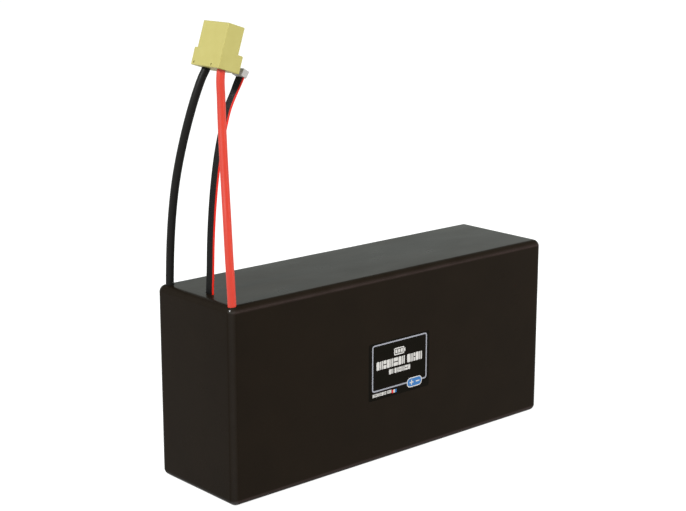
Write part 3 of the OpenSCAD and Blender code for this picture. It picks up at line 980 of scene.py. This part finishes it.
BALANCE_X, BALANCE_Y, BALANCE_L = 3.6, 7, 3.5
WIRE_ENTRY_X = 0.8                      # from the plug's middle to its row of wires
CHAMBER_W = 0.8
WINDOW_W, WINDOW_Z0, WINDOW_Z1 = 0.5, 1.4, 2.5

balance_place = (
    Matrix.Translation(LEAD_ORIGIN + BALANCE_PLACE)
    @ Matrix.Rotation(BALANCE_TILT, 4, "Y")
)
white_nylon = plastic_paint("white_nylon", srgb(133, 131, 129), srgb(125, 123, 121), 0.45, 0.3)
plug = joined(
    "balance_plug_body",
    [rounded_prism(rectangle(BALANCE_X, BALANCE_Y), 0.3, 0, BALANCE_L, 0.2, 3)],
    balance_place,
)
chambers, windows = [], []
for n in range(WIRE_COUNT):
    y = (n - (WIRE_COUNT - 1) / 2) * BALANCE_PITCH
    chambers.append(box_solid(
        (WIRE_ENTRY_X - CHAMBER_W / 2, y - CHAMBER_W / 2, -1),
        (WIRE_ENTRY_X + CHAMBER_W / 2, y + CHAMBER_W / 2, BALANCE_L + 1),
    ))
    windows.append(box_solid(
        (WIRE_ENTRY_X, y - WINDOW_W / 2, WINDOW_Z0), (BALANCE_X, y + WINDOW_W / 2, WINDOW_Z1)
    ))
finish_mesh(plug, [
    joined("chamber_cutter", chambers, balance_place),
    joined("window_cutter", windows, balance_place),
])
paint_piece(plug, white_nylon)
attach(plug, BODY)
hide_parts("balance_plug_housing")


# ---------- the CAD nodes that stay ----------

copper = metal_paint("copper_plate", srgb(200, 120, 84), srgb(170, 92, 62), 0.32, (12, 1, 1))
CAD_PAINTS = {
    "front_board": weave_paint("glass_board", srgb(190, 182, 120), srgb(165, 155, 92), 0.9, 0.4),
    "base_liner": foam_paint("liner_foam", srgb(62, 62, 66), srgb(34, 34, 36)),
    "tail_foam": foam_paint("end_foam", srgb(74, 74, 80), srgb(40, 40, 44)),
    "cell_pad": foam_paint("pad_foam", srgb(40, 40, 43), srgb(24, 24, 26)),
    "stack_tape": layer_paint("amber_tape", srgb(200, 124, 34), srgb(180, 104, 24), 2.5, "Z", 0.3),
    "cell": metal_paint("pouch_foil", srgb(205, 207, 211), srgb(182, 185, 190), 0.38, (6, 1, 1), 1.2),
    "electrode_stack": layer_paint("electrodes", srgb(56, 56, 60), srgb(96, 80, 66), 0.2, "Y", 0.6),
    "positive_tab": metal_paint("aluminium_tab", srgb(218, 220, 224), srgb(196, 198, 203), 0.34),
    "negative_tab": metal_paint("nickel_tab", srgb(196, 178, 160), srgb(172, 154, 138), 0.34),
    "tab_board": weave_paint("green_board", srgb(30, 92, 48), srgb(22, 72, 38), 1.1, 0.35),
    "series_link": copper,
    "terminal": copper,
    "tab_solder": metal_paint("solder", srgb(200, 200, 204), srgb(176, 176, 181), 0.3, (1, 1, 1), 0.8),
    "conductors": metal_paint("strands", srgb(214, 162, 118), srgb(180, 126, 88), 0.35, (1, 1, 30), 0.25),
    "contacts": metal_paint("tin_plate", srgb(206, 206, 203), srgb(182, 182, 180), 0.3),
}
SAME_AS = {
    "rear_board": "front_board",
    "top_liner": "base_liner",
    "lead_end_foam": "tail_foam",
    "positive_terminal": "terminal",
    "negative_terminal": "terminal",
    "terminal_conductors": "conductors",
    "cup_conductors": "conductors",
    "balance_contacts": "contacts",
}
LEAD_PAINTS = {"positive_lead_inner": red_silicone, "negative_lead_inner": black_silicone}

for name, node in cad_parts.items():
    if node.hide_render:
        continue
    kind = name.rstrip("0123456789").rstrip("_")
    paint = LEAD_PAINTS.get(name) or CAD_PAINTS[SAME_AS.get(kind, kind)]
    paint_piece(node, paint)


# ---------- floor and light ----------

FLOOR_W = 12000
FLOOR_Z = -0.2       # just clear of the pack's base
FLOOR_GLOW = 0.86
floor = mesh_object("floor", at_height(rectangle(FLOOR_W, FLOOR_W), FLOOR_Z), [(0, 1, 2, 3)])
floor_paint = Paint("light_table", srgb(140, 140, 140), 0.8, specular=0.1)
floor_paint.set(floor_paint.shader, "Emission Color", (1, 1, 1, 1))
floor_paint.set(floor_paint.shader, "Emission Strength", FLOOR_GLOW)
floor_paint.roughen(floor_paint.ramp(floor_paint.noise(60, 3), 0.3, 0.7, 0.75, 0.85))
paint_piece(floor, floor_paint)

# Studio surroundings: bright near the horizon and dim overhead
SKY_COLOUR = (0.93, 1, 0.95, 1)
HORIZON, OVERHEAD = 1.4, 0.3
FADE_FROM, FADE_TO = 0.35, 0.7       # sines of the heights between which it fades
world = bpy.data.worlds.new("studio")
scene.world = world
world.use_nodes = True
sky = world.node_tree
sky_place = sky.nodes.new("ShaderNodeTexCoord")
sky_axes = sky.nodes.new("ShaderNodeSeparateXYZ")
sky_fade = sky.nodes.new("ShaderNodeMapRange")
sky_fade.interpolation_type = "SMOOTHSTEP"
sky.links.new(sky_place.outputs["Generated"], sky_axes.inputs[0])
sky.links.new(sky_axes.outputs["Z"], sky_fade.inputs["Value"])
sky_fade.inputs["From Min"].default_value = FADE_FROM
sky_fade.inputs["From Max"].default_value = FADE_TO
sky_fade.inputs["To Min"].default_value = HORIZON
sky_fade.inputs["To Max"].default_value = OVERHEAD
background = sky.nodes["Background"]
background.inputs["Color"].default_value = SKY_COLOUR
sky.links.new(sky_fade.outputs["Result"], background.inputs["Strength"])


LIGHT_DISTANCE = 1.6     # metres from the pack's middle


def round_light(name, toward, size, power):
    """A round area light in that direction from the pack's middle, aimed at it, sized in metres."""
    data = bpy.data.lights.new(name, "AREA")
    data.shape = "DISK"
    data.size = size
    data.energy = power
    light = add_object(name, data)
    middle = Vector((0, 0, jacket_high.z / 2)) * MM
    direction = Vector(toward).normalized()
    light.location = middle + direction * LIGHT_DISTANCE
    light.rotation_euler = direction.to_track_quat("Z", "Y").to_euler()
    return light


round_light("side", (-0.77, -0.03, 0.63), 0.25, 34.5)
front_light = round_light("front", (0.5, -0.82, 0.3), 0.8, 37)
front_light.visible_glossy = False      # its mirror image would bleach the top seen from behind

scene.view_settings.view_transform = "Standard"
scene.view_settings.look = "None"
